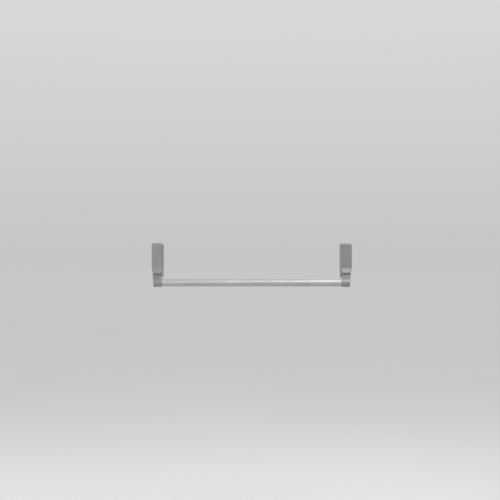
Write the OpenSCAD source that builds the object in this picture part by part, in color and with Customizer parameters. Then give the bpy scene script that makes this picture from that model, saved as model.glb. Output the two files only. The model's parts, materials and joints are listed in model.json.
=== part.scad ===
// Panic exit bar for a mortice lock: a push bar carried by two cranked levers,
// one in a lock-side case that turns the lock's square spindle, one in a hinge-side case.
// Frame: origin on the door's face, midway between the cases, at the height of the spindle.
// +X runs along the bar, +Y goes into the door and +Z is up. "Reach" is the distance in front
// of the door, so a reach r is the plane y = -r. The lock side is at +X.
// Each case is drawn about its own centre line with +X outboard, and mirrored for the hinge side.

/* [Spread] */
// Distance between the two case centre lines
case_spacing = 823; // [500:1:1200]

/* [Cases] */
// Width of a case
case_w = 50; // [48:0.5:60]
// Reach of the case's front face
case_reach = 50; // [50:0.5:60]
// Reach of the front lip at the mouth
lip_reach = 58; // [57:0.5:66]
// Height of the top of the dome above the spindle
cover_top = 38; // [36:0.5:50]
// Rise of the domed top from its corners to its middle
dome_rise = 3.5; // [1:0.5:5]
// Wall thickness of the cover
cover_wall = 2.5; // [2:0.1:3]

/* [Push bar] */
// Outside diameter of the bar
bar_d = 30; // [25:0.5:32]
// Wall of the bar's tube
bar_wall = 2; // [1.5:0.1:3]
// Length of the bar's tube beyond each case centre line
bar_overlap = 3.5; // [-5:0.5:8]
// Outside diameter of the lever's socket
socket_d = 35; // [35:0.5:38]
// Reach of the bar's axis at rest
bar_reach = 95; // [94:0.5:100]
// Drop of the bar's axis below the spindle at rest
bar_drop = 135; // [132:0.5:138]

/* [Lever pivot] */
// Diameter of the pivot axle
axle_d = 8; // [6:0.5:8]
// Reach of the pivot axle
pivot_reach = 36; // [36:0.5:36.5]
// Drop of the pivot axle below the spindle
pivot_drop = 50; // [49:0.5:51]

/* [Drive] */
// Gear module
gear_m = 1.5; // [1.5:0.05:1.55]
// Teeth in the full circle of the lever's sector
sector_teeth = 30; // [29:1:30]
// Teeth on the spindle gear
pinion_teeth = 15; // [14:1:15]
// Side of the square spindle
spindle_w = 9; // [8:1:9]
// Length of spindle behind the door's face
spindle_out = 55; // [30:1:90]

/* [Fixings] */
// Diameter of the screw holes to the door
fixing_d = 5.5; // [4.5:0.1:6.5]
// Height of the main holes above and below the spindle
fixing_rise = 22; // [21:0.5:23]
// Drop of the lower hole below the spindle
lower_fixing_drop = 104; // [102:0.5:105]

/* [Hidden] */
$fn = 48;
eps = 0.01;

case_x = case_spacing / 2;
half_w = case_w / 2;
pivot = [pivot_reach, -pivot_drop];
bar_axis = [bar_reach, -bar_drop];
run_gap = 0.05;

// cover
shoulder_z = -62;
lip_z = -96;
foot_z = -118;
lip_half_w = half_w - 5;
foot_half_w = half_w - 1.5;
cover_corner_r = 6;
top_edge_r = 7;
corner_steps = 4;
taper_steps = 6;

// chassis
plate_t = 4;
plate_top = 29;
plate_bottom = -112;
plate_half_w = half_w - 3;
foot_plate_half_w = half_w - 4.5;
cheek_in = half_w - 6;
cheek_t = 3;
cheek_bottom = -68;
cover_screw = [22, -4];
cover_screw_r = 2;
cover_screw_head_r = 3.9;
cover_screw_key_r = 1.4;
cover_screw_key_depth = 1.1;

// gearing
pressure = 25;
addendum = 0.9 * gear_m;
dedendum = 1.15 * gear_m;
backlash = 0.16;
tooth_pitch = PI * gear_m;
sector_r = gear_m * sector_teeth / 2;
pinion_r = gear_m * pinion_teeth / 2;
sector_w = 10;
sector_first = -3;
sector_last = 1;
rack_line = pivot_reach - sector_r;
rack_back = plate_t + 0.65;
rack_front = rack_line - dedendum;
rack_side = cheek_in - 0.3;
rack_bottom = -68;
rack_block_top = -40;
rack_block_in = -7.5;
pad_z = 9;
pad_t = 3;

// spindle gear, its bush and the keeper plate over it
gear_back = plate_t + 0.6;
gear_front = 12.4;
rear_journal_r = 8;
rear_journal_back = 0.3;
front_journal_r = 7;
boss_front = 24;
boss_screw_reach = boss_front - 3.5;
boss_screw_r = 2;
boss_screw_key_r = 1.1;
bush_r = 10;
bush_flange_r = 11;
bush_rim_t = 0.5;
keeper_back = 13.6;
keeper_t = 2;
post_x = -15;
post_z = 10;
post_r = 3.5;
keeper_screw_r = 1.5;
keeper_screw_head_r = 2.8;
keeper_screw_head_t = 2;
keeper_screw_key_r = 1.3;

spindle_tip = 3;

// rack spring
spring_x = 14.2;
spring_reach = 8.3;
spring_r = 3.5;
rack_wire_r = 0.5;
rack_turns = 5;
spring_top = 26;
spring_bottom = pad_z + pad_t;
lug_t = plate_top - spring_top;
guide_r = 1.75;
guide_len = 4;

// lever
hub_r = 11;
hub_half_w = 17;
bush_bore_r = 5.5;
bush_flange_t = 1.2;
bush_len = 9;
clip_t = 0.6;
clip_x = hub_half_w + bush_flange_t + 0.1;
clip_groove_r = 3.1;
clip_r = 7;
clip_gap = 4;
socket_in = -25;
socket_out = 17.5;
socket_floor = 8;
lever_front_reach = bar_reach + socket_d;
web_heel = [37, -103];
web_back = pivot + [3 - hub_r, -8];
rest_lug_x = -12.5;
rest_lug_w = 8;
rest_r = 4;
press_r = 5;
rest_face = 14;
rest_z = -27;
press_x = 11;
press_z = -90;
press_face = 21.1;
pedestal_front = 14;
rest_pedestal_front = 8;

// grub screws that hold the bar, and the plugs behind them
grub_r = 2.5;
grub_x = [-17, -5];
grub_len = 4.4;
grub_sunk = 0.4;
grub_key_r = 1.45;
plug_wall = 5;
plug_end = 4;

// torsion spring
torsion_wire_r = 1;
torsion_r = 8;
torsion_turns = 5;
torsion_half_w = 6.5;
torsion_pocket_half_w = 8.5;
sleeve_r = 6;
leg_plate_x = -torsion_half_w;
leg_lever_x = torsion_half_w;
leg_lever_len = 30;
leg_plate_angle = 50;

// ---------- helpers ----------

// puts a case's own drawing at one side: 1 is the lock side, -1 the hinge side
module at_side(side) {
    if (side > 0) translate([case_x, 0, 0]) children();
    else mirror([1, 0, 0]) translate([case_x, 0, 0]) children();
}

// an outline in [reach, z] extruded along X between two places
module side_plate(x0, x1) {
    translate([x0, 0, 0]) rotate([90, 0, 90]) mirror([1, 0, 0])
        linear_extrude(x1 - x0) children();
}

// an outline in [x, z] extruded from one reach to another
module front_plate(reach0, reach1) {
    translate([0, -reach0, 0]) rotate([90, 0, 0]) linear_extrude(reach1 - reach0) children();
}

// a rod along X, placed by [reach, z]
module rod_x(place, r, x0, x1) {
    translate([x0, -place[0], place[1]]) rotate([0, 90, 0]) cylinder(r = r, h = x1 - x0);
}

// a rod along Y from one reach to another, placed by x and z
module rod_y(x, z, r, reach0, reach1) {
    translate([x, -reach0, z]) rotate([90, 0, 0]) cylinder(r = r, h = reach1 - reach0);
}

// a box given by its low and high corners in [x, reach, z]
module block(low, high) {
    translate([low[0], -high[1], low[2]]) cube(high - low);
}

function ease(t) = t * t * (3 - 2 * t);
function mix(a, b, t) = a + (b - a) * t;

// skin through rings of equal size, each end closed by a fan to its own middle point
module skin(rings, first_mid, last_mid) {
    n = len(rings[0]);
    count = len(rings);
    points = concat([for (ring = rings) each ring], [first_mid, last_mid]);
    walls = [for (k = [0:count - 2], i = [0:n - 1])
        let (a = k * n + i, b = k * n + (i + 1) % n) each [[a, a + n, b], [b, a + n, b + n]]];
    first_cap = [for (i = [0:n - 1]) [i, (i + 1) % n, count * n]];
    last_cap = [for (i = [0:n - 1])
        [(count - 1) * n + (i + 1) % n, (count - 1) * n + i, count * n + 1]];
    polyhedron(points, concat(walls, first_cap, last_cap), convexity = 6);
}

// wire through a list of [point, outward direction] pairs, drawn round a coil's axis
module wire(path, axis, r, sides = 8) {
    rings = [for (step = path) [for (i = [0:sides - 1])
        let (a = 360 * i / sides) step[0] + r * (cos(a) * step[1] + sin(a) * axis)]];
    skin(rings, path[0][0], path[len(path) - 1][0]);
}

// ---------- teeth ----------

function involute(a) = tan(a) - a * PI / 180;

// half the angle of a tooth at radius r
function tooth_half_angle(pitch_r, r) =
    let (base_r = pitch_r * cos(pressure),
         half = (tooth_pitch / 2 - backlash) / (2 * pitch_r) * 180 / PI,
         a = acos(min(1, base_r / r)))
    half + (involute(pressure) - involute(a)) * 180 / PI;

// one tooth's outline about its wheel's centre, pointing along +X
module tooth(pitch_r) {
    low = max(pitch_r * cos(pressure) + eps, pitch_r - dedendum);
    high = pitch_r + addendum;
    radii = [for (i = [0:5]) mix(low, high, i / 5)];
    root = pitch_r - dedendum - 1;
    root_a = tooth_half_angle(pitch_r, low);
    upper = concat([[root, root_a]], [for (r = radii) [r, tooth_half_angle(pitch_r, r)]]);
    points = concat([for (q = upper) q[0] * [cos(q[1]), -sin(q[1])]],
        [for (i = [len(upper) - 1:-1:0]) upper[i][0] * [cos(upper[i][1]), sin(upper[i][1])]]);
    polygon(points);
}

// outline of a rack's teeth: they point along +X, with the pitch line on X = 0
module rack_teeth(centres) {
    half = (tooth_pitch / 2 - backlash) / 2;
    for (c = centres) polygon([
        [-dedendum - eps, c - half - dedendum * tan(pressure)],
        [addendum, c - half + addendum * tan(pressure)],
        [addendum, c + half - addendum * tan(pressure)],
        [-dedendum - eps, c + half + dedendum * tan(pressure)]]);
}

// ---------- cases ----------

// die-cast chassis: the same casting serves both sides
module chassis() {
    cheek = [[plate_t - eps, plate_top - 1], [22, plate_top - 1], [30, plate_top - 9], [30, -22],
        [44, -36], [44, -60], [36, cheek_bottom], [plate_t - eps, cheek_bottom]];
    plate = [[-plate_half_w, plate_top - 4], [-plate_half_w + 4, plate_top],
        [plate_half_w - 4, plate_top], [plate_half_w, plate_top - 4],
        [plate_half_w, cheek_bottom], [foot_plate_half_w, cheek_bottom - 6],
        [foot_plate_half_w, plate_bottom + 5], [foot_plate_half_w - 5, plate_bottom],
        [-foot_plate_half_w + 5, plate_bottom], [-foot_plate_half_w, plate_bottom + 5],
        [-foot_plate_half_w, cheek_bottom - 6], [-plate_half_w, cheek_bottom]];
    difference() {
        union() {
            front_plate(0, plate_t) polygon(plate);
            for (s = [-1, 1]) {
                side_plate(s * (cheek_in + cheek_t / 2) - cheek_t / 2,
                    s * (cheek_in + cheek_t / 2) + cheek_t / 2) polygon(cheek);
                rod_y(post_x, s * post_z, post_r, plate_t - eps, keeper_back);
                rod_y(s * press_x, press_z, press_r + 1, plate_t - eps, pedestal_front);
            }
            rod_y(rest_lug_x, rest_z, rest_r + 0.5, plate_t - eps, rest_pedestal_front);
            block([spring_x - spring_r - 0.9, plate_t - eps, spring_top],
                [cheek_in + eps, spring_reach + spring_r + 1.2, plate_top]);
        }
        rod_y(0, 0, bush_r, -1, plate_t + 1);
        for (z = [fixing_rise, -fixing_rise, -lower_fixing_drop])
            rod_y(0, z, fixing_d / 2, -1, plate_t + 1);
        rod_x(pivot, axle_d / 2, -half_w, half_w);
        rod_x(cover_screw, cover_screw_r, -half_w, half_w);
        translate([spring_x, -spring_reach, spring_top - 1]) cylinder(r = guide_r, h = lug_t + 2);
        for (s = [-1, 1]) rod_y(post_x, s * post_z, keeper_screw_r, plate_t + 1, keeper_back + 1);
    }
}

module chassis_lock() { color("slategray") at_side(1) chassis(); }
module chassis_hinge() { color("slategray") at_side(-1) chassis(); }

// plan of a case at one level as [x, reach]: wide at the door, narrower in front, front corners round
function plan_ring(back_w, front_w, back, front, r) = let (
    corner = [for (i = [0:corner_steps]) let (a = 90 * i / corner_steps)
        [front_w - r + r * cos(a), front - r + r * sin(a)]],
    half = concat([[back_w, back]], corner))
    concat(half, [for (i = [len(half) - 1:-1:0]) [-half[i][0], half[i][1]]]);

// level rings that tilt towards the mouth, then round over into the domed top
function case_rings(inset, back) = let (
    r = cover_corner_r - inset / 2,
    w = half_w - inset,
    edge_r = top_edge_r - inset,
    top = cover_top - inset)
    concat(
        [for (i = [0:taper_steps]) let (
            t = i / taper_steps, e = ease(t),
            front_z = mix(lip_z, shoulder_z, t) - (inset > 0 && i == 0 ? 6 : 0),
            back_z = mix(foot_z, shoulder_z, t) - (inset > 0 && i == 0 ? 6 : 0),
            front = mix(lip_reach, case_reach, ease(min(1, t * 1.2))) - inset)
            [for (q = plan_ring(mix(foot_half_w, half_w, t) - inset, mix(lip_half_w, half_w, e) - inset,
                                back, front, r))
                [q[0], -q[1], mix(back_z, front_z, min(1, q[1] / front))]]],
        [for (i = [0:4]) let (a = 90 * i / 4, e = edge_r * (1 - cos(a)),
            z = top - edge_r + edge_r * sin(a))
            [for (q = plan_ring(w - e, w - e, back, case_reach - inset - e, max(0.6, r - e / 2)))
                [q[0], -q[1], z - dome_rise * pow(q[0] / half_w, 2)]]]);

module case_form(inset, back) {
    rings = case_rings(inset, back);
    n = len(rings);
    mouth = mix(rings[0][0], rings[0][corner_steps + 1], 0.5);
    skin([for (i = [n - 1:-1:0]) rings[i]], [0, -case_reach / 2, cover_top - inset],
        [0, mouth[1], mouth[2]]);
}

module cover() {
    difference() {
        case_form(0, 0);
        case_form(cover_wall, -4);
        for (s = [0, 1]) mirror([s, 0, 0]) {
            rod_x(cover_screw, cover_screw_r, half_w - cover_wall - 1, half_w + 1);
            translate([half_w, -cover_screw[0], cover_screw[1]]) rotate([0, -90, 0])
                cylinder(r1 = cover_screw_head_r, r2 = cover_screw_r,
                    h = cover_screw_head_r - cover_screw_r);
        }
    }
}

module cover_lock() { color("lightgray") at_side(1) cover(); }
module cover_hinge() { color("lightgray") at_side(-1) cover(); }

// two countersunk screws through the sides of each cover
module cover_screws() {
    head_h = cover_screw_head_r - cover_screw_r;
    color("silver") for (side = [-1, 1], s = [0, 1]) at_side(side) mirror([s, 0, 0])
        difference() {
            translate([half_w, -cover_screw[0], cover_screw[1]]) rotate([0, -90, 0]) {
                cylinder(r1 = cover_screw_head_r, r2 = cover_screw_r, h = head_h);
                cylinder(r = cover_screw_r, h = half_w - cheek_in - 0.1);
            }
            translate([half_w - cover_screw_key_depth, -cover_screw[0], cover_screw[1]])
                rotate([0, 90, 0]) cylinder(r = cover_screw_key_r, h = head_h, $fn = 6);
        }
}

// ---------- pivots ----------

module pivot_axle() {
    difference() {
        rod_x(pivot, axle_d / 2, -plate_half_w, plate_half_w);
        for (s = [-1, 1]) difference() {
            rod_x(pivot, axle_d, s > 0 ? clip_x : -clip_x - clip_t, s > 0 ? clip_x + clip_t : -clip_x);
            rod_x(pivot, clip_groove_r, -half_w, half_w);
        }
    }
}

module pivot_axle_lock() { color("silver") at_side(1) pivot_axle(); }
module pivot_axle_hinge() { color("silver") at_side(-1) pivot_axle(); }

// E-clips that stop the axles from moving sideways
module axle_clips() {
    color("dimgray") for (side = [-1, 1], s = [0, 1]) at_side(side) mirror([s, 0, 0])
        difference() {
            rod_x(pivot, clip_r, clip_x, clip_x + clip_t);
            rod_x(pivot, clip_groove_r, clip_x - 1, clip_x + 2);
            block([clip_x - 1, pivot_reach - clip_gap / 2, -pivot_drop - clip_r - 1],
                [clip_x + 2, pivot_reach + clip_gap / 2, -pivot_drop]);
        }
}

// flanged plain bushes, two in each lever's hub
module pivot_bushes() {
    color("ivory") for (side = [-1, 1], s = [0, 1]) at_side(side) mirror([s, 0, 0])
        difference() {
            union() {
                rod_x(pivot, bush_bore_r, hub_half_w - bush_len + eps, hub_half_w + bush_flange_t);
                rod_x(pivot, hub_r - 3, hub_half_w, hub_half_w + bush_flange_t);
            }
            rod_x(pivot, axle_d / 2 + run_gap, hub_half_w - bush_len - 1, half_w);
        }
}

// ---------- levers and bar ----------

// side outline of the lever's web, cranked round the case's lip
function lever_side() = let (
    top_slope = 24, under_slope = 44, r = socket_d / 2)
    [[pivot[0] + hub_r - 0.1, pivot[1]],
     [pivot[0] + hub_r - 0.6, shoulder_z - 4],
     [lip_reach - 5, lip_z - 1],
     bar_axis + r * [sin(top_slope), cos(top_slope)],
     bar_axis,
     bar_axis - r * [sin(under_slope), cos(under_slope)],
     web_heel,
     web_back];

// front outline of the lever, as [x, z]: level sides in the case, then off to the socket's width
lever_bottom = -156;
lever_top = [[16.5, -40], [16.5, -60], [14.5, -70], [14.5, -92]];
lever_outer = [[17.3, -103], [16.6, -111], [14.6, -121], [12.9, -129], [12, -137], [11.6, lever_bottom]];
lever_inner = [[socket_in + 2, lever_bottom], [socket_in + 1, -133], [-21.5, -121], [-18.8, -111],
    [-17.3, -103]];
lever_front = concat(lever_top, lever_outer, lever_inner,
    [for (i = [len(lever_top) - 1:-1:0]) [-lever_top[i][0], lever_top[i][1]]]);

// round socket for the bar, open inboard, its closed outer end cut to the lever's outer side
module socket_form() {
    r = socket_d / 2;
    mouth_r = bar_d / 2 + 1;
    mouth_curve = 6;
    outline = concat(
        [[0, socket_in], [mouth_r, socket_in]],
        [for (i = [1:4]) let (a = 90 * i / 4)
            [mouth_r + (r - mouth_r) * sin(a), socket_in + mouth_curve * (1 - cos(a))]],
        [[r, socket_out], [0, socket_out]]);
    intersection() {
        translate([0, -bar_axis[0], bar_axis[1]]) rotate([0, 90, 0])
            rotate_extrude($fn = 64) polygon(outline);
        front_plate(0, lever_front_reach) polygon(concat(lever_outer,
            [[socket_in - 1, lever_bottom], [socket_in - 1, lever_outer[0][1]]]));
    }
}

// the lever without its drive: web, hub, rest lug and socket
module lever() {
    lug = [[pivot[0] - 4, pivot[1] + 6], [rest_face, rest_z - 5], [rest_face, rest_z + 5],
        [rest_face + 4, rest_z + 7], [pivot[0] + 2, pivot[1] + 10.5]];
    difference() {
        union() {
            intersection() {
                side_plate(-half_w, half_w) polygon(lever_side());
                front_plate(0, lever_front_reach) polygon(lever_front);
            }
            rod_x(pivot, hub_r, -hub_half_w, hub_half_w);
            side_plate(rest_lug_x - rest_lug_w / 2, rest_lug_x + rest_lug_w / 2) polygon(lug);
            socket_form();
        }
        for (s = [0, 1]) mirror([s, 0, 0])
            rod_x(pivot, bush_bore_r, hub_half_w - bush_len, half_w);
        rod_x(pivot, axle_d / 2 + 0.4, -half_w, half_w);
        rod_x(bar_axis, bar_d / 2 + run_gap, socket_in - 1, socket_floor);
        bar_grub_holes();
    }
}

// tapped holes under the socket for the grub screws that hold the bar
module bar_grub_holes() {
    for (x = grub_x) translate([x, -bar_axis[0], bar_axis[1] - socket_d / 2 - 1])
        cylinder(r = grub_r, h = 1 + grub_sunk + grub_len);
}

module arm_lock() {
    color("silver") at_side(1) {
        lever();
        side_plate(-sector_w / 2, sector_w / 2) difference() {
            union() {
                for (i = [sector_first:sector_last]) translate(pivot)
                    rotate(180 - i * 360 / sector_teeth) tooth(sector_r);
                translate(pivot) polygon(sector_body());
            }
            translate(pivot) circle(r = axle_d / 2 + 0.4);
            translate(pivot) circle(r = hub_r - 1);
        }
    }
}

// wedge that carries the sector's teeth, as points about the pivot
function sector_body() = let (r = sector_r - dedendum, step = 360 / sector_teeth,
    a0 = 180 - (sector_last + 0.6) * step, a1 = 180 - (sector_first - 0.6) * step)
    concat([[hub_r * cos(a0), hub_r * sin(a0)]],
        [for (i = [0:10]) let (a = mix(a0, a1, i / 10)) r * [cos(a), sin(a)]],
        [[hub_r * cos(a1), hub_r * sin(a1)], [0, 0]]);

// direction of the lever's back face, which the torsion spring's leg lies along
leg_dir = (web_heel - web_back) / norm(web_heel - web_back);
leg_normal = [leg_dir[1], -leg_dir[0]];

module arm_hinge() {
    color("silver") at_side(-1) difference() {
        lever();
        rod_x(pivot, torsion_r + 4, -torsion_pocket_half_w, torsion_pocket_half_w);
        // groove for the spring's leg
        front = pivot + leg_normal * (torsion_r - torsion_wire_r - 0.1);
        side_plate(leg_lever_x - 1.6, leg_lever_x + 1.6) polygon([
            front, front + leg_dir * (leg_lever_len + 3),
            front + leg_dir * (leg_lever_len + 3) + leg_normal * 8, front + leg_normal * 8]);
    }
}

module push_bar() {
    half = case_x + bar_overlap;
    color("silver") difference() {
        rod_x(bar_axis, bar_d / 2, -half, half);
        rod_x(bar_axis, bar_d / 2 - bar_wall, -half - 1, half + 1);
        for (side = [-1, 1]) at_side(side) bar_grub_holes();
    }
}

// plugs that stiffen the tube's ends under the grub screws
module bar_plugs() {
    color("dimgray") for (side = [-1, 1]) at_side(side) difference() {
        rod_x(bar_axis, bar_d / 2 - bar_wall, socket_in - 2, bar_overlap);
        rod_x(bar_axis, bar_d / 2 - bar_wall - plug_wall, socket_in - 3, bar_overlap - plug_end);
        bar_grub_holes();
    }
}

module bar_grub_screws() {
    color("dimgray") for (side = [-1, 1]) at_side(side) difference() {
        for (x = grub_x) translate([x, -bar_axis[0], bar_axis[1] - socket_d / 2 + grub_sunk])
            cylinder(r = grub_r, h = grub_len);
        for (x = grub_x) translate([x, -bar_axis[0], bar_axis[1] - socket_d / 2])
            cylinder(r = grub_key_r, h = grub_sunk + grub_len / 2, $fn = 6);
    }
}

// ---------- drive to the spindle ----------

// rack that the lever lifts and that turns the spindle gear
module drive_rack() {
    front_first = ceil((rack_bottom + pivot_drop) / tooth_pitch);
    front_count = floor((rack_block_top + pivot_drop) / tooth_pitch) - 1;
    color("darkgray") at_side(1) {
        block([pinion_r + dedendum, rack_back, rack_bottom], [rack_side, rack_front, pad_z + eps]);
        block([rack_block_in, rack_back, rack_bottom], [rack_side, rack_front, rack_block_top]);
        block([pinion_r - addendum, rack_back, pad_z], [rack_side, rack_front, pad_z + pad_t]);
        translate([spring_x, -spring_reach, pad_z + pad_t - eps])
            cylinder(r = spring_r - rack_wire_r - 0.6, h = 2);
        front_plate(rack_back, rack_front) translate([pinion_r, 0]) mirror([1, 0])
            rack_teeth([for (i = [-4:1]) (i + 0.5) * tooth_pitch]);
        side_plate(-sector_w / 2 - 1, sector_w / 2 + 1) translate([rack_line, -pivot_drop])
            rack_teeth([for (i = [front_first:front_count]) (i + 0.5) * tooth_pitch]);
    }
}

// coil along Z with closed end turns: [point, outward direction] pairs
function rack_coil() = let (steps = 14, n = rack_turns * steps,
    low = spring_bottom + rack_wire_r + 0.05, high = spring_top - rack_wire_r - 0.05)
    [for (i = [0:n]) let (t = i / n, a = 360 * rack_turns * t, out = [cos(a), sin(a), 0],
        rise = ease(min(1, max(0, (t * rack_turns - 0.8) / (rack_turns - 1.6)))),
        z = mix(low, high, rise) + (t < 0.5 ? 1 : -1) * min(t, 1 - t) * rack_turns * 0.5)
        [[spring_x, -spring_reach, 0] + spring_r * out + [0, 0, z], out]];

module rack_spring() { color("gray") at_side(1) wire(rack_coil(), [0, 0, -1], rack_wire_r); }

module spring_guide_pin() {
    color("silver") at_side(1) translate([spring_x, -spring_reach, spring_top - guide_len])
        cylinder(r = guide_r, h = lug_t + guide_len);
}

module spindle_gear() {
    color("darkgray") at_side(1) difference() {
        union() {
            front_plate(gear_back, gear_front) {
                for (i = [0:pinion_teeth - 1]) rotate(i * 360 / pinion_teeth) tooth(pinion_r);
                circle(r = pinion_r - dedendum);
            }
            rod_y(0, 0, rear_journal_r, rear_journal_back, gear_back + eps);
            rod_y(0, 0, front_journal_r, gear_front - eps, boss_front);
        }
        block([-spindle_w / 2, -1, -spindle_w / 2] - [run_gap, 0, run_gap],
            [spindle_w / 2, boss_front + 1, spindle_w / 2] + [run_gap, 0, run_gap]);
        translate([0, -boss_screw_reach, 0]) cylinder(r = boss_screw_r, h = front_journal_r + 1);
    }
}

// square spindle that turns the mortice lock's follower
module spindle() {
    color("silver") at_side(1) {
        block([-spindle_w / 2, spindle_tip - spindle_out, -spindle_w / 2],
            [spindle_w / 2, boss_front - 1, spindle_w / 2]);
        translate([0, spindle_out - spindle_tip - eps, 0]) rotate([-90, 45, 0])
            cylinder(r1 = spindle_w / sqrt(2), r2 = spindle_w / sqrt(2) - spindle_tip / 2,
                h = spindle_tip, $fn = 4);
    }
}

module spindle_grub_screw() {
    color("dimgray") at_side(1) difference() {
        translate([0, -boss_screw_reach, spindle_w / 2])
            cylinder(r = boss_screw_r, h = front_journal_r - spindle_w / 2);
        translate([0, -boss_screw_reach, front_journal_r - 1.2])
            cylinder(r = boss_screw_key_r, h = 3, $fn = 6);
    }
}

module spindle_bush() {
    color("goldenrod") at_side(1) difference() {
        union() {
            rod_y(0, 0, bush_r, 0, plate_t + eps);
            rod_y(0, 0, bush_flange_r, plate_t, plate_t + bush_rim_t);
        }
        rod_y(0, 0, rear_journal_r + run_gap, -1, plate_t + 2);
    }
}

// steel plate over the spindle gear and the rack
module gear_keeper() {
    edge = cheek_in - 0.2;
    outline = [[-edge, -13.5], [-9, -13.5], [-4, -9], [edge, -9], [edge, 9], [-4, 9], [-9, 13.5],
        [-edge, 13.5]];
    color("lightsteelblue") at_side(1) difference() {
        front_plate(keeper_back, keeper_back + keeper_t) polygon(outline);
        rod_y(0, 0, front_journal_r + run_gap, 0, 30);
        for (s = [-1, 1]) rod_y(post_x, s * post_z, keeper_screw_r, 0, 30);
    }
}

module keeper_screws() {
    head = keeper_back + keeper_t;
    color("silver") at_side(1) for (s = [-1, 1]) difference() {
        union() {
            rod_y(post_x, s * post_z, keeper_screw_r, plate_t + 2, head + eps);
            rod_y(post_x, s * post_z, keeper_screw_head_r, head, head + keeper_screw_head_t);
        }
        translate([post_x, -head - keeper_screw_head_t / 2, s * post_z]) rotate([90, 0, 0])
            cylinder(r = keeper_screw_key_r, h = keeper_screw_head_t, $fn = 6);
    }
}

// ---------- return spring and buffers ----------

// torsion spring round the hinge-side axle: one leg on the chassis, one behind the lever
function torsion_coil() = let (steps = 16,
    // angles are measured from +Y towards +Z, and the wire winds down through them
    a0 = -leg_plate_angle, a1 = -atan2(leg_normal[1], leg_normal[0]) - 180 - 360 * torsion_turns,
    n = steps * torsion_turns,
    centre = [0, -pivot[0], pivot[1]])
    [for (i = [0:n]) let (a = mix(a0, a1, i / n), out = [0, cos(a), sin(a)])
        [centre + torsion_r * out + [mix(leg_plate_x, leg_lever_x, i / n), 0, 0], out]];

module torsion_spring() {
    coil = torsion_coil();
    first = coil[0];
    last = coil[len(coil) - 1];
    plate_leg = (-first[0][1] - plate_t - torsion_wire_r) / sin(leg_plate_angle);
    plate_end = first[0] + plate_leg * [0, sin(leg_plate_angle), cos(leg_plate_angle)];
    lever_end = last[0] + leg_lever_len * [0, -leg_dir[0], leg_dir[1]];
    color("gray") at_side(-1)
        wire(concat([[plate_end, first[1]]], coil, [[lever_end, last[1]]]), [1, 0, 0], torsion_wire_r);
}

module spring_sleeve() {
    color("ivory") at_side(-1) difference() {
        rod_x(pivot, sleeve_r, -hub_half_w + bush_len + 0.2, hub_half_w - bush_len - 0.2);
        rod_x(pivot, axle_d / 2 + run_gap, -half_w, half_w);
    }
}

// rubber buttons that the rest lugs stand against
module rest_buffers() {
    color("darkslategray") for (side = [-1, 1]) at_side(side)
        rod_y(rest_lug_x, rest_z, rest_r, rest_pedestal_front, rest_face);
}

// rubber buttons that stop the levers when the bar is pressed
module press_buffers() {
    color("darkslategray") for (side = [-1, 1], s = [-1, 1]) at_side(side)
        rod_y(s * press_x, press_z, press_r, pedestal_front, press_face);
}

chassis_lock();
chassis_hinge();
cover_lock();
cover_hinge();
cover_screws();
pivot_axle_lock();
pivot_axle_hinge();
axle_clips();
pivot_bushes();
arm_lock();
arm_hinge();
push_bar();
bar_plugs();
bar_grub_screws();
drive_rack();
rack_spring();
spring_guide_pin();
spindle_gear();
spindle();
spindle_grub_screw();
spindle_bush();
gear_keeper();
keeper_screws();
torsion_spring();
spring_sleeve();
rest_buffers();
press_buffers();
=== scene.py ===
# Looks of the panic exit bar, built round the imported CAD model, in metres and in the CAD frame:
# +X along the bar, +Y into the door, +Z up. A reach r is the plane y = -r in front of the door.
import json
import math

import bmesh
import bpy
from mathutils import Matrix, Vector


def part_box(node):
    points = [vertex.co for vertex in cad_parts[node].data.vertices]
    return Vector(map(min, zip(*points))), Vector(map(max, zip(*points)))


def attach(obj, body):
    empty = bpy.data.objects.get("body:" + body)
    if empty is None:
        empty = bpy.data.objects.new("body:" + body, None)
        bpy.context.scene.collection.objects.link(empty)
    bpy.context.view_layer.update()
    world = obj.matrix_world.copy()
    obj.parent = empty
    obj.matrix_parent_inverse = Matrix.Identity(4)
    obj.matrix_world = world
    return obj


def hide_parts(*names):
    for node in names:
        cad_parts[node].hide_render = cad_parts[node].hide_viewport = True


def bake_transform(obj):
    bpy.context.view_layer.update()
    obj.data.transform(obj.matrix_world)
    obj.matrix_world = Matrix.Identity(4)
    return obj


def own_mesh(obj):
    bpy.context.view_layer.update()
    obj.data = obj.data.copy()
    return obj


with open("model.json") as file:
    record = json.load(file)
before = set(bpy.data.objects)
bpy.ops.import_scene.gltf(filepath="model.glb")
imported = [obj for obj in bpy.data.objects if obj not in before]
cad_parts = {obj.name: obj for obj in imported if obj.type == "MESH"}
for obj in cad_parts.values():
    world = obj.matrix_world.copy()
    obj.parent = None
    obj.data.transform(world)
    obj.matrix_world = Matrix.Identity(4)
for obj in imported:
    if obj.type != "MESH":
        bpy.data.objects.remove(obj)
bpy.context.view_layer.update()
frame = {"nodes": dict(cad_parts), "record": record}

MM = 0.001

# what the frame says about the cases, the bar and the levers' pivots
COVER_LOW, COVER_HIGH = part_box("cover_lock")
CASE_X = (COVER_LOW.x + COVER_HIGH.x) / 2
HALF_W = (COVER_HIGH.x - COVER_LOW.x) / 2
COVER_TOP = COVER_HIGH.z
LIP_REACH = -COVER_LOW.y
FOOT_Z = COVER_LOW.z
BAR_LOW, BAR_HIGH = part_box("push_bar")
BAR_R = (BAR_HIGH.z - BAR_LOW.z) / 2
BAR_AXIS = Vector((0, (BAR_LOW.y + BAR_HIGH.y) / 2, (BAR_LOW.z + BAR_HIGH.z) / 2))
AXLE_LOW, AXLE_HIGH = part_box("pivot_axle_lock")
PIVOT = Vector((0, (AXLE_LOW.y + AXLE_HIGH.y) / 2, (AXLE_LOW.z + AXLE_HIGH.z) / 2))

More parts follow.
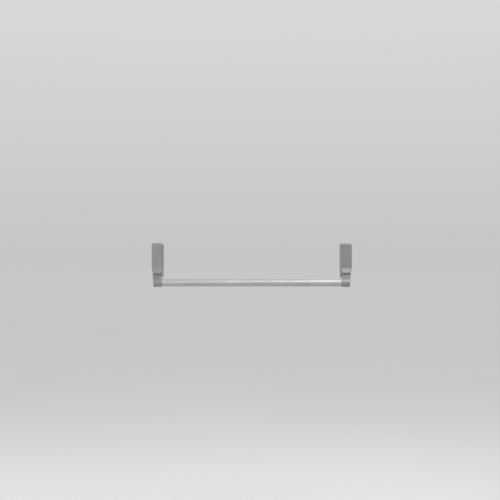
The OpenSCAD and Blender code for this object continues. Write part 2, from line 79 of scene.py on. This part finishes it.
# shape of a cover, as drawn in the CAD
CASE_REACH = 50 * MM
SHOULDER_Z = -62 * MM
LIP_Z = -96 * MM
LIP_HALF_W = HALF_W - 5 * MM
FOOT_HALF_W = HALF_W - 1.5 * MM
COVER_WALL = 2.5 * MM
CORNER_R = 6 * MM
TOP_EDGE_R = 7 * MM
DOME_RISE = 3.5 * MM
# how much sooner than the sides the front comes up out of its lip
LIP_HASTE = 1.2
SCREW_REACH = 22 * MM
SCREW_Z = -4 * MM
SCREW_HEAD_R = 3.9 * MM
SCREW_SHANK_R = 2 * MM

BAR_WALL = 2 * MM

# what a lever's rounding leaves alone: its teeth, its axle bore and its bar bore
TEETH_HALF_W = 7 * MM
TEETH_R = 26 * MM
BORE_KEEP = 7 * MM
BAR_BORE_KEEP = BAR_R + 1 * MM
# where a lever leaves its case
CASE_MOUTH_Z = PIVOT.z - 20 * MM

# points closer than this are one point
WELD = 1e-6


# ---------- mesh helpers ----------

def mix(a, b, t):
    return a + (b - a) * t


def ease(t):
    return t * t * (3 - 2 * t)


def mesh_piece(name, verts, faces, sharp_angle=40):
    """A mesh object with smooth faces, outward normals and sharp edges past an angle."""
    mesh = bpy.data.meshes.new(name)
    mesh.from_pydata([tuple(v) for v in verts], [], faces)
    bm = bmesh.new()
    bm.from_mesh(mesh)
    bmesh.ops.remove_doubles(bm, verts=bm.verts, dist=WELD)
    bmesh.ops.dissolve_degenerate(bm, dist=WELD / 10, edges=bm.edges)
    bmesh.ops.delete(bm, geom=[e for e in bm.edges if e.is_wire], context="EDGES")
    if all(e.is_manifold for e in bm.edges):
        bmesh.ops.recalc_face_normals(bm, faces=bm.faces)
    for f in bm.faces:
        f.smooth = True
    for e in bm.edges:
        e.smooth = not (e.is_manifold and e.calc_face_angle(0) > math.radians(sharp_angle))
    bm.to_mesh(mesh)
    bm.free()
    piece = bpy.data.objects.new(name, mesh)
    bpy.context.scene.collection.objects.link(piece)
    return piece


def grid(rows, closed=False):
    """Faces over rows of equal length; closed joins each row's last point to its first."""
    n = len(rows[0])
    span = n if closed else n - 1
    return [[k * n + i, k * n + (i + 1) % n, (k + 1) * n + (i + 1) % n, (k + 1) * n + i]
            for k in range(len(rows) - 1) for i in range(span)]


def lathe_x(name, outline, centre, segments=96, sharp_angle=40):
    """A closed outline of (x, radius) turned round an axis along X through centre."""
    turns = [2 * math.pi * i / segments for i in range(segments)]
    rows = [[(x, centre.y + r * math.cos(a), centre.z + r * math.sin(a)) for a in turns]
            for x, r in outline + outline[:1]]
    return mesh_piece(name, [v for row in rows for v in row], grid(rows, closed=True), sharp_angle)


def wire(name, path, axis, r, sides=16):
    """A round wire through (point, outward direction) pairs wound round an axis, ends capped."""
    rings = [[p + (out * math.cos(a) + axis * math.sin(a)) * r
              for a in (2 * math.pi * i / sides for i in range(sides))] for p, out in path]
    verts = [v for ring in rings for v in ring]
    faces = grid(rings, closed=True)
    last = len(verts) - sides
    faces += [list(range(sides)), list(range(last, last + sides))]
    return mesh_piece(name, verts, faces)


def add(piece, kind, **values):
    modifier = piece.modifiers.new(kind.title(), kind)
    for key, value in values.items():
        setattr(modifier, key, value)
    return modifier


def soften(piece, width, segments=2, angle=35):
    """Rounds the edges of a piece and keeps its flat faces flat."""
    add(piece, "BEVEL", width=width, segments=segments, limit_method="ANGLE",
        angle_limit=math.radians(angle), miter_outer="MITER_ARC")
    add(piece, "WEIGHTED_NORMAL", keep_sharp=True)


def bake_modifiers(piece):
    """Applies a piece's modifiers."""
    evaluated = piece.evaluated_get(bpy.context.evaluated_depsgraph_get())
    mesh = bpy.data.meshes.new_from_object(evaluated)
    piece.modifiers.clear()
    old = piece.data
    piece.data = mesh
    bpy.data.meshes.remove(old)


def drop_custom_normals(mesh):
    if "custom_normal" in mesh.attributes:
        mesh.attributes.remove(mesh.attributes["custom_normal"])


def dress(piece, slot, cad_node):
    """Gives a piece its material and slot, and hides the CAD node that it stands for."""
    piece.data.materials.clear()
    piece.data.materials.append(MATERIALS[slot])
    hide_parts(cad_node)


def finish_piece(piece, slot, body, cad_node):
    dress(piece, slot, cad_node)
    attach(piece, body)


# ---------- materials ----------

def node(tree, kind, inputs=None, **values):
    made = tree.nodes.new(kind)
    for key, value in values.items():
        setattr(made, key, value)
    for key, value in (inputs or {}).items():
        plug(tree, value, made.inputs[key])
    return made


def plug(tree, value, socket):
    """Links an output to a socket, or sets the socket to a plain value."""
    if hasattr(value, "is_output"):
        tree.links.new(value, socket)
    else:
        socket.default_value = value


def noise(tree, place, scale, detail=2.0, rough=0.5):
    return node(tree, "ShaderNodeTexNoise", {"Vector": place, "Scale": scale, "Detail": detail,
                                             "Roughness": rough}).outputs["Fac"]


def cells(tree, place, scale, output="Distance"):
    return node(tree, "ShaderNodeTexVoronoi", {"Vector": place, "Scale": scale}).outputs[output]


def stretched(tree, place, scale):
    return node(tree, "ShaderNodeMapping", {"Vector": place, "Scale": scale}).outputs["Vector"]


def between(tree, value, low, high, to_low, to_high):
    """Moves low..high to to_low..to_high and holds the value there."""
    return node(tree, "ShaderNodeMapRange", {"Value": value, "From Min": low, "From Max": high,
                                             "To Min": to_low, "To Max": to_high}).outputs["Result"]


def maths(tree, operation, a, b):
    made = node(tree, "ShaderNodeMath", operation=operation)
    plug(tree, a, made.inputs[0])
    plug(tree, b, made.inputs[1])
    return made.outputs[0]


def mixed(tree, factor, a, b):
    made = node(tree, "ShaderNodeMix", {"Factor": factor}, data_type="RGBA")
    plug(tree, a, made.inputs[6])
    plug(tree, b, made.inputs[7])
    return made.outputs[2]


def mixed_value(tree, factor, a, b):
    made = node(tree, "ShaderNodeMix", {"Factor": factor}, data_type="FLOAT")
    plug(tree, a, made.inputs[2])
    plug(tree, b, made.inputs[3])
    return made.outputs[0]


def grey(value, warmth=0.0):
    return (value * (1 + warmth), value, value * (1 - warmth), 1)


def edge_wear(tree, place, radius, amount, chip_scale=260):
    """Worn spots along outer edges: 1 where worn, 0 on flat surface."""
    rounded = node(tree, "ShaderNodeBevel", {"Radius": radius}, samples=6).outputs[0]
    flat = node(tree, "ShaderNodeNewGeometry").outputs["Normal"]
    dot = node(tree, "ShaderNodeVectorMath", {0: rounded, 1: flat}, operation="DOT_PRODUCT").outputs["Value"]
    edge = between(tree, dot, 0.90, 0.995, 1, 0)
    chips = between(tree, noise(tree, place, chip_scale, 4, 0.7), 0.56 - amount, 0.62 - amount / 2, 0, 1)
    return maths(tree, "MULTIPLY", edge, chips)


def make_material(name, metallic, look):
    """look(tree, place) gives the colour, roughness and height over the surface, and the bump's depth."""
    material = bpy.data.materials.new(name)
    material.use_nodes = True
    tree = material.node_tree
    shader = tree.nodes["Principled BSDF"]
    place = node(tree, "ShaderNodeTexCoord").outputs["Object"]
    colour, rough, height, depth = look(tree, place)
    shader.inputs["Metallic"].default_value = metallic
    plug(tree, colour, shader.inputs["Base Color"])
    plug(tree, rough, shader.inputs["Roughness"])
    relief = node(tree, "ShaderNodeBump", {"Strength": 1.0, "Distance": depth, "Height": height})
    plug(tree, relief.outputs["Normal"], shader.inputs["Normal"])
    return material


def silver_paint(tree, place):
    """Satin silver powder coat: orange peel, fine flakes, handled patches, chips along its edges."""
    broad = noise(tree, place, 14, 4, 0.6)
    peel = noise(tree, place, 420, 2, 0.5)
    flakes = between(tree, cells(tree, place, 2400, "Color"), 0.55, 0.95, 0, 0.35)
    paint = mixed(tree, between(tree, broad, 0.35, 0.65, 0, 1), (0.228, 0.225, 0.232, 1),
                  (0.262, 0.258, 0.265, 1))
    paint = mixed(tree, flakes, paint, grey(0.48))
    smudge = between(tree, noise(tree, place, 60, 5, 0.65), 0.5, 0.68, 0, 0.07)
    rough = maths(tree, "ADD", between(tree, broad, 0.3, 0.7, 0.37, 0.43), smudge)
    worn = edge_wear(tree, place, 0.0009, 0.05)
    colour = mixed(tree, worn, paint, grey(0.62))
    return colour, mixed_value(tree, worn, rough, 0.28), peel, 0.00006


def bar_finish(tree, place):
    """Satin anodised tube: drawing lines along its length, and a band that hands have polished."""
    lines = noise(tree, stretched(tree, place, (0.015, 1, 1)), 1500, 3, 0.6)
    broad = noise(tree, place, 9, 3, 0.6)
    handled = noise(tree, stretched(tree, place, (0.5, 1, 1)), 45, 5, 0.65)
    metal = mixed(tree, between(tree, broad, 0.35, 0.65, 0, 1), (0.455, 0.448, 0.450, 1),
                  (0.505, 0.498, 0.500, 1))
    colour = mixed(tree, between(tree, lines, 0.35, 0.65, 0.16, 0), metal, grey(0.22))
    rough = maths(tree, "ADD", between(tree, lines, 0.35, 0.65, 0.54, 0.46),
                  between(tree, handled, 0.42, 0.62, -0.05, 0.05))
    return colour, rough, lines, 0.000012


def chassis_casting(tree, place):
    """Zinc die casting: cast grain, flow marks and bright rubbed edges."""
    grain = noise(tree, place, 850, 4, 0.65)
    flow = noise(tree, stretched(tree, place, (1, 1, 0.35)), 38, 4, 0.6)
    metal = mixed(tree, between(tree, flow, 0.35, 0.65, 0, 1), (0.37, 0.38, 0.40, 1),
                  (0.43, 0.435, 0.45, 1))
    metal = mixed(tree, between(tree, grain, 0.3, 0.5, 0.2, 0), metal, grey(0.2))
    worn = edge_wear(tree, place, 0.0004, 0.05)
    rough = mixed_value(tree, worn, between(tree, grain, 0.3, 0.7, 0.58, 0.42), 0.35)
    return mixed(tree, worn, metal, grey(0.55)), rough, grain, 0.00008


def plated_steel(tree, place):
    """Bright zinc plate: cloudy patches and fine rubbing scratches."""
    cloud = noise(tree, place, 110, 4, 0.6)
    scratches = noise(tree, stretched(tree, place, (1, 0.12, 0.12)), 2600, 2, 0.5)
    metal = mixed(tree, between(tree, cloud, 0.35, 0.65, 0, 1), (0.56, 0.58, 0.62, 1), (0.68, 0.67, 0.64, 1))
    colour = mixed(tree, between(tree, scratches, 0.3, 0.45, 0.15, 0), metal, grey(0.3))
    return colour, between(tree, cloud, 0.3, 0.7, 0.24, 0.36), scratches, 0.000008


def black_steel(tree, place):
    """Black oxide with an oil film, rubbed bare along its edges."""
    film = noise(tree, place, 240, 4, 0.6)
    worn = edge_wear(tree, place, 0.0005, 0.1, 600)
    coat = mixed(tree, between(tree, film, 0.3, 0.7, 0, 1), (0.022, 0.022, 0.026, 1), (0.05, 0.048, 0.05, 1))
    return (mixed(tree, worn, coat, grey(0.32)), between(tree, film, 0.3, 0.7, 0.3, 0.5),
            noise(tree, place, 1800, 2), 0.00002)


def drive_steel(tree, place):
    """Sintered gear steel: open pores, dark oil in the hollows and polished edges."""
    pores = cells(tree, place, 1500)
    oil = noise(tree, place, 95, 4, 0.65)
    metal = mixed(tree, between(tree, oil, 0.38, 0.62, 0, 1), (0.20, 0.195, 0.185, 1),
                  (0.35, 0.35, 0.355, 1))
    metal = mixed(tree, between(tree, pores, 0.05, 0.22, 0.7, 0), metal, grey(0.04))
    worn = edge_wear(tree, place, 0.0006, 0.14, 400)
    rough = mixed_value(tree, worn, between(tree, oil, 0.35, 0.65, 0.3, 0.5), 0.22)
    return mixed(tree, worn, metal, grey(0.62)), rough, pores, 0.00003


def spring_steel(tree, place):
    """Drawn music wire with a thin film of grease."""
    draw = noise(tree, place, 1600, 3, 0.6)
    grease = noise(tree, place, 170, 4, 0.6)
    metal = mixed(tree, between(tree, grease, 0.4, 0.62, 0, 1), (0.26, 0.26, 0.28, 1), (0.40, 0.40, 0.41, 1))
    return metal, between(tree, grease, 0.3, 0.7, 0.2, 0.4), draw, 0.00001


def bronze(tree, place):
    """Oil-filled sintered bronze: dark pores in warm metal."""
    pores = cells(tree, place, 1900)
    tone = noise(tree, place, 140, 4, 0.6)
    metal = mixed(tree, between(tree, tone, 0.35, 0.65, 0, 1), (0.46, 0.27, 0.12, 1), (0.66, 0.43, 0.21, 1))
    colour = mixed(tree, between(tree, pores, 0.05, 0.2, 0.75, 0), metal, (0.07, 0.04, 0.02, 1))
    return colour, between(tree, tone, 0.3, 0.7, 0.3, 0.45), pores, 0.00002


def nylon(tree, place):
    """Turned natural nylon: soft mottling and fine turning lines."""
    tone = noise(tree, place, 190, 4, 0.6)
    lines = noise(tree, stretched(tree, place, (1, 0.1, 0.1)), 2600, 2)
    colour = mixed(tree, between(tree, tone, 0.35, 0.65, 0, 1), (0.70, 0.66, 0.55, 1), (0.80, 0.77, 0.68, 1))
    return colour, between(tree, tone, 0.3, 0.7, 0.4, 0.55), lines, 0.00001


def black_plastic(tree, place):
    """Moulded black plastic with a spark-eroded texture."""
    spark = noise(tree, place, 1400, 3, 0.6)
    tone = noise(tree, place, 120, 4, 0.6)
    colour = mixed(tree, between(tree, tone, 0.35, 0.65, 0, 1), grey(0.018), grey(0.032))
    return colour, between(tree, spark, 0.3, 0.7, 0.42, 0.6), spark, 0.00003


def buffer_rubber(tree, place):
    """Black rubber with a bloom of pale dust."""
    dust = noise(tree, place, 320, 5, 0.7)
    colour = mixed(tree, between(tree, dust, 0.52, 0.72, 0, 0.55), grey(0.018), grey(0.12, 0.05))
    return colour, between(tree, dust, 0.3, 0.7, 0.62, 0.85), noise(tree, place, 1500, 3, 0.6), 0.00006


def floor_paint(tree, place):
    """Pale studio floor."""
    tone = noise(tree, place, 0.9, 3, 0.5)
    colour = mixed(tree, between(tree, tone, 0.3, 0.7, 0, 1), grey(0.665, 0.003), grey(0.68, 0.003))
    return colour, between(tree, tone, 0.3, 0.7, 0.66, 0.72), noise(tree, place, 60, 2), 0.0001


METALLIC = {silver_paint: 0.4, bar_finish: 1.0, chassis_casting: 0.85, plated_steel: 1.0, black_steel: 0.7,
            drive_steel: 0.9, spring_steel: 1.0, bronze: 0.95, nylon: 0.0, black_plastic: 0.0,
            buffer_rubber: 0.0}
MATERIALS = {look.__name__: make_material(look.__name__, metallic, look)
             for look, metallic in METALLIC.items()}


# ---------- covers ----------

def plan_row(back_w, front_w, front, r, side_steps=6, corner_steps=8, front_steps=5):
    """A case's outline at one level as (x, reach), from its +X back edge round to its -X one."""
    half = [(mix(back_w, front_w, i / side_steps), mix(0, front - r, i / side_steps))
            for i in range(side_steps)]
    half += [(front_w - r + r * math.cos(a), front - r + r * math.sin(a))
             for a in (math.pi / 2 * i / corner_steps for i in range(corner_steps + 1))]
    half += [(mix(front_w - r, 0, i / front_steps), front) for i in range(1, front_steps + 1)]
    return half + [(-x, reach) for x, reach in reversed(half[:-1])]


def top_row(inset, z):
    """Outline of the domed top, drawn in by inset from the sides."""
    least_r = 0.2 * MM
    r = min(max(CORNER_R - inset / 2, least_r), HALF_W - inset)
    return [(x, -reach, z - DOME_RISE * (x / HALF_W) ** 2)
            for x, reach in plan_row(HALF_W - inset, HALF_W - inset, CASE_REACH - inset, r)]


def cover_rows(taper_steps=16, straight_steps=5, edge_steps=8, dome_steps=8):
    """Outer skin of a cover about its own centre line, from its mouth to the middle of its top."""
    rows = []
    for i in range(taper_steps + 1):
        t = i / taper_steps
        front = mix(LIP_REACH, CASE_REACH, ease(min(1, t * LIP_HASTE)))
        front_z = mix(LIP_Z, SHOULDER_Z, t)
        back_z = mix(FOOT_Z, SHOULDER_Z, t)
        row = plan_row(mix(FOOT_HALF_W, HALF_W, t), mix(LIP_HALF_W, HALF_W, ease(t)), front, CORNER_R)
        rows.append([(x, -reach, mix(back_z, front_z, reach / front)) for x, reach in row])
    edge_z = COVER_TOP - TOP_EDGE_R
    straight = plan_row(HALF_W, HALF_W, CASE_REACH, CORNER_R)
    for i in range(1, straight_steps):
        z = mix(SHOULDER_Z, edge_z, i / straight_steps)
        rows.append([(x, -reach, z) for x, reach in straight])
    for i in range(edge_steps + 1):
        a = math.pi / 2 * i / edge_steps
        rows.append(top_row(TOP_EDGE_R * (1 - math.cos(a)), edge_z + TOP_EDGE_R * math.sin(a)))
    for i in range(1, dome_steps + 1):
        rows.append(top_row(mix(TOP_EDGE_R, HALF_W, i / dome_steps), COVER_TOP))
    return rows


def screw_seat(side, case_x):
    """Cutter for a countersunk hole in one side wall of a cover."""
    gap = 0.15 * MM
    out = 1 * MM
    depth = SCREW_HEAD_R - SCREW_SHANK_R
    inner = HALF_W - COVER_WALL - out
    outline = [(HALF_W + out, 0), (HALF_W + out, SCREW_HEAD_R + gap), (HALF_W, SCREW_HEAD_R + gap),
               (HALF_W - depth, SCREW_SHANK_R + gap), (inner, SCREW_SHANK_R + gap), (inner, 0)]
    return lathe_x("screw_seat", [(case_x + side * x, r) for x, r in outline],
                   Vector((0, -SCREW_REACH, SCREW_Z)), segments=48)


def face_away(mesh, middle):
    """Turns an open skin's faces so that they look away from its middle."""
    bm = bmesh.new()
    bm.from_mesh(mesh)
    if sum(f.normal.dot(f.calc_center_median() - middle) * f.calc_area() for f in bm.faces) < 0:
        bmesh.ops.reverse_faces(bm, faces=bm.faces)
    bm.to_mesh(mesh)
    bm.free()


def make_cover(name, cad_node, case_x):
    """A cover: one skin thickened inwards, with a seat for a screw cut in each side."""
    rows = cover_rows()
    piece = mesh_piece(name, [(case_x + x, y, z) for row in rows for x, y, z in row], grid(rows))
    face_away(piece.data, Vector((case_x, -CASE_REACH / 2, 0)))
    add(piece, "SOLIDIFY", thickness=COVER_WALL, offset=-1, use_even_offset=True, use_quality_normals=True)
    cutters = [screw_seat(side, case_x) for side in (-1, 1)]
    for cutter in cutters:
        add(piece, "BOOLEAN", operation="DIFFERENCE", solver="EXACT", object=cutter)
    bake_modifiers(piece)
    for cutter in cutters:
        bpy.data.objects.remove(cutter)
    soften(piece, 0.35 * MM, segments=3, angle=40)
    finish_piece(piece, "silver_paint", "base", cad_node)


make_cover("case_cover_lock", "cover_lock", CASE_X)
make_cover("case_cover_hinge", "cover_hinge", -CASE_X)


# ---------- levers ----------

def round_lever(piece, case_x, inside_rounds, outside_rounds):
    """Melts a lever's edges, most where it is outside its case, and leaves its teeth and bores alone."""
    inside = piece.vertex_groups.new(name="inside")
    outside = piece.vertex_groups.new(name="outside")
    for v in piece.data.vertices:
        from_pivot = math.hypot(v.co.y - PIVOT.y, v.co.z - PIVOT.z)
        from_bar = math.hypot(v.co.y - BAR_AXIS.y, v.co.z - BAR_AXIS.z)
        toothed = abs(v.co.x - case_x) < TEETH_HALF_W and v.co.y > PIVOT.y and from_pivot < TEETH_R
        if toothed or from_pivot < BORE_KEEP:
            continue
        if from_bar > BAR_BORE_KEEP and v.co.z < CASE_MOUTH_Z:
            outside.add([v.index], 1.0, "REPLACE")
        inside.add([v.index], 1.0, "REPLACE")
    add(piece, "SMOOTH", factor=0.5, iterations=inside_rounds, vertex_group="inside")
    add(piece, "SMOOTH", factor=0.5, iterations=outside_rounds, vertex_group="outside")
    bake_modifiers(piece)
    piece.vertex_groups.clear()


def make_lever(name, cad_node, case_x):
    """The cast lever: the CAD solid with every edge and inside corner rounded, its teeth kept crisp."""
    mesh = frame["nodes"][cad_node].data.copy()
    mesh.name = name
    bm = bmesh.new()
    bm.from_mesh(mesh)
    bmesh.ops.remove_doubles(bm, verts=bm.verts, dist=WELD)
    bm.to_mesh(mesh)
    bm.free()
    drop_custom_normals(mesh)
    piece = bpy.data.objects.new(name, mesh)
    bpy.context.scene.collection.objects.link(piece)
    add(piece, "REMESH", mode="SHARP", octree_depth=8, scale=0.95, use_remove_disconnected=False)
    bake_modifiers(piece)
    round_lever(piece, case_x, inside_rounds=6, outside_rounds=40)
    add(piece, "REMESH", mode="VOXEL", voxel_size=0.5 * MM)
    bake_modifiers(piece)
    round_lever(piece, case_x, inside_rounds=3, outside_rounds=12)
    for polygon in piece.data.polygons:
        polygon.use_smooth = True
    finish_piece(piece, "silver_paint", "bar_assembly", cad_node)


make_lever("lever_lock", "arm_lock", CASE_X)
make_lever("lever_hinge", "arm_hinge", -CASE_X)


# ---------- bar ----------

def make_bar():
    """The tube, with its ends chamfered inside and out."""
    inner = BAR_R - BAR_WALL
    chamfer = 0.4 * MM
    outline = [(BAR_LOW.x, inner + chamfer), (BAR_LOW.x, BAR_R - chamfer), (BAR_LOW.x + chamfer, BAR_R),
               (BAR_HIGH.x - chamfer, BAR_R), (BAR_HIGH.x, BAR_R - chamfer), (BAR_HIGH.x, inner + chamfer),
               (BAR_HIGH.x - chamfer, inner), (BAR_LOW.x + chamfer, inner)]
    piece = lathe_x("bar_tube", outline, BAR_AXIS, segments=128, sharp_angle=30)
    finish_piece(piece, "bar_finish", "bar_assembly", "push_bar")


make_bar()


# ---------- springs ----------

def rack_spring_path(centre, low_z, high_z, coil_r, turns=5, steps=40):
    """Coil along Z whose end turns lie flat, as (point, outward direction) pairs."""
    flat_turns = 0.8
    end_rise = 0.5 * MM
    path = []
    for i in range(turns * steps + 1):
        t = i / (turns * steps)
        a = 2 * math.pi * turns * t
        out = Vector((math.cos(a), math.sin(a), 0))
        rise = ease(min(1, max(0, (t * turns - flat_turns) / (turns - 2 * flat_turns))))
        lift = (1 if t < 0.5 else -1) * min(t, 1 - t) * turns * end_rise
        z = mix(low_z, high_z, rise) + lift
        path.append((Vector((centre.x, centre.y, z)) + out * coil_r, out))
    return path


def make_rack_spring():
    """Closed-end compression spring over the rack."""
    low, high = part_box("rack_spring")
    centre = (low + high) / 2
    wire_r = 0.5 * MM
    coil_r = (high.x - low.x) / 2 - wire_r
    path = rack_spring_path(centre, low.z + wire_r, high.z - wire_r, coil_r)
    piece = wire("rack_return_spring", path, Vector((0, 0, 1)), wire_r)
    finish_piece(piece, "spring_steel", "base", "rack_spring")
    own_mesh(piece)


def torsion_spring_path(plate_x, lever_x, turns=5, steps=48):
    """From the leg on the chassis plate, round the axle, to the leg behind the lever."""
    coil_r = 8 * MM
    plate_angle = math.radians(50)
    plate_leg_reach = 5 * MM
    lever_leg = 30 * MM
    # the way that the lever's back face runs down from the pivot
    lever_back = Vector((0, -9, -45)).normalized()
    first = -plate_angle
    last = math.atan2(lever_back.y, -lever_back.z) - 2 * math.pi * turns
    path = []
    for i in range(turns * steps + 1):
        t = i / (turns * steps)
        a = mix(first, last, t)
        out = Vector((0, math.cos(a), math.sin(a)))
        path.append((Vector((mix(plate_x, lever_x, t), PIVOT.y, PIVOT.z)) + out * coil_r, out))
    start, start_out = path[0]
    end, end_out = path[-1]
    up = Vector((0, math.sin(plate_angle), math.cos(plate_angle)))
    plate_end = start + up * ((-start.y - plate_leg_reach) / up.y)
    return [(plate_end, start_out)] + path + [(end + lever_back * lever_leg, end_out)]


def make_torsion_spring():
    """Return spring round the hinge-side axle, with one leg on the plate and one behind the lever."""
    low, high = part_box("torsion_spring")
    wire_r = 1 * MM
    plate_x = high.x - wire_r
    lever_x = low.x + wire_r
    path = torsion_spring_path(plate_x, lever_x)
    piece = wire("lever_return_spring", path, Vector((1, 0, 0)), wire_r)
    dress(piece, "spring_steel", "torsion_spring")
    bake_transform(piece)


make_rack_spring()
make_torsion_spring()


# ---------- carried-over nodes ----------

# each kept CAD node's edge rounding, in millimetres
KEPT = {
    "chassis_lock": 0.6, "chassis_hinge": 0.6, "cover_screws": 0.12, "pivot_axle_lock": 0.25,
    "pivot_axle_hinge": 0.25, "axle_clips": 0.1, "pivot_bushes": 0.2, "bar_plugs": 0.3,
    "bar_grub_screws": 0.12, "drive_rack": 0.15, "spring_guide_pin": 0.25, "spindle_gear": 0.15,
    "spindle": 0.3, "spindle_grub_screw": 0.1, "spindle_bush": 0.2, "gear_keeper": 0.1,
    "keeper_screws": 0.15, "spring_sleeve": 0.3, "rest_buffers": 0.5, "press_buffers": 0.6,
}
# nodes whose flat faces are made whole first, because their rounding would show the triangles between holes
MADE_WHOLE = ["gear_keeper"]
SLOT_OF = {row["node"]: row["material_slot"] for row in frame["record"]["subparts"]}


def dress_kept(name, width):
    kept = frame["nodes"][name]
    for place in kept.material_slots:
        place.material = MATERIALS[SLOT_OF[name]]
    drop_custom_normals(kept.data)
    add(kept, "WELD", merge_threshold=WELD)
    if name in MADE_WHOLE:
        add(kept, "DECIMATE", decimate_type="DISSOLVE", angle_limit=math.radians(1))
    soften(kept, width)


for name, width in KEPT.items():
    dress_kept(name, width * MM)


# ---------- stage ----------

FLOOR_Z = -1.04
FLOOR_R = 60
CAMERA_AT = Vector((-0.0073, -5.0, 0.007))
# height that the picture takes in at the origin, and the camera's sensor in millimetres
FRAME_HEIGHT = 2.2
SENSOR = 36
HORIZON = (0.565, 0.565, 0.562, 1)
ZENITH = (0.83, 0.83, 0.83, 1)
# sine of the elevation at which the surroundings reach their palest
ZENITH_FROM = 0.45


def make_floor(segments=128):
    rim = [(FLOOR_R * math.cos(a), FLOOR_R * math.sin(a), FLOOR_Z)
           for a in (2 * math.pi * i / segments for i in range(segments))]
    floor = mesh_piece("floor", rim, [list(range(segments))])
    floor.data.materials.append(make_material("floor_paint", 0.0, floor_paint))


def aim(thing, at):
    thing.rotation_euler = (Vector(at) - thing.location).to_track_quat("-Z", "Y").to_euler()


def softbox(name, place, size, radiance, at=(0, 0, -0.06)):
    """A rectangular light of even radiance that faces at."""
    light = bpy.data.lights.new(name, "AREA")
    light.shape = "RECTANGLE"
    light.size, light.size_y = size
    light.energy = radiance * math.pi * size[0] * size[1]
    lamp = bpy.data.objects.new(name, light)
    lamp.location = place
    aim(lamp, at)
    bpy.context.scene.collection.objects.link(lamp)


def make_camera():
    data = bpy.data.cameras.new("camera")
    data.sensor_fit = "VERTICAL"
    data.sensor_height = SENSOR
    data.sensor_width = SENSOR
    data.lens = SENSOR * -CAMERA_AT.y / FRAME_HEIGHT
    camera = bpy.data.objects.new("camera", data)
    camera.location = CAMERA_AT
    camera.rotation_euler = (math.radians(90), 0, 0)
    bpy.context.scene.collection.objects.link(camera)
    bpy.context.scene.camera = camera


def make_world():
    """Plain light from all round: the floor's own tone at the horizon, paler above it."""
    world = bpy.data.worlds.new("studio")
    world.use_nodes = True
    tree = world.node_tree
    direction = node(tree, "ShaderNodeTexCoord").outputs["Generated"]
    rise = node(tree, "ShaderNodeSeparateXYZ", {"Vector": direction}).outputs["Z"]
    tone = mixed(tree, between(tree, rise, 0, ZENITH_FROM, 0, 1), HORIZON, ZENITH)
    plug(tree, tone, tree.nodes["Background"].inputs["Color"])
    bpy.context.scene.world = world


make_floor()
make_camera()
make_world()
softbox("overhead", (0.5, -1.4, 1.7), (1.3, 1.5), 2.6, at=(0.1, -0.09, -0.13))
softbox("front_left", (-1.9, -4.7, 0.5), (2.4, 2.4), 1.45)
softbox("high_right", (0.9, -0.05, 1.2), (0.6, 0.6), 6.5, at=(0.41, -0.08, -0.11))
softbox("side_left", (-2.4, -0.5, 0.3), (1.2, 2.0), 1.5)
bpy.context.scene.view_settings.view_transform = "Standard"
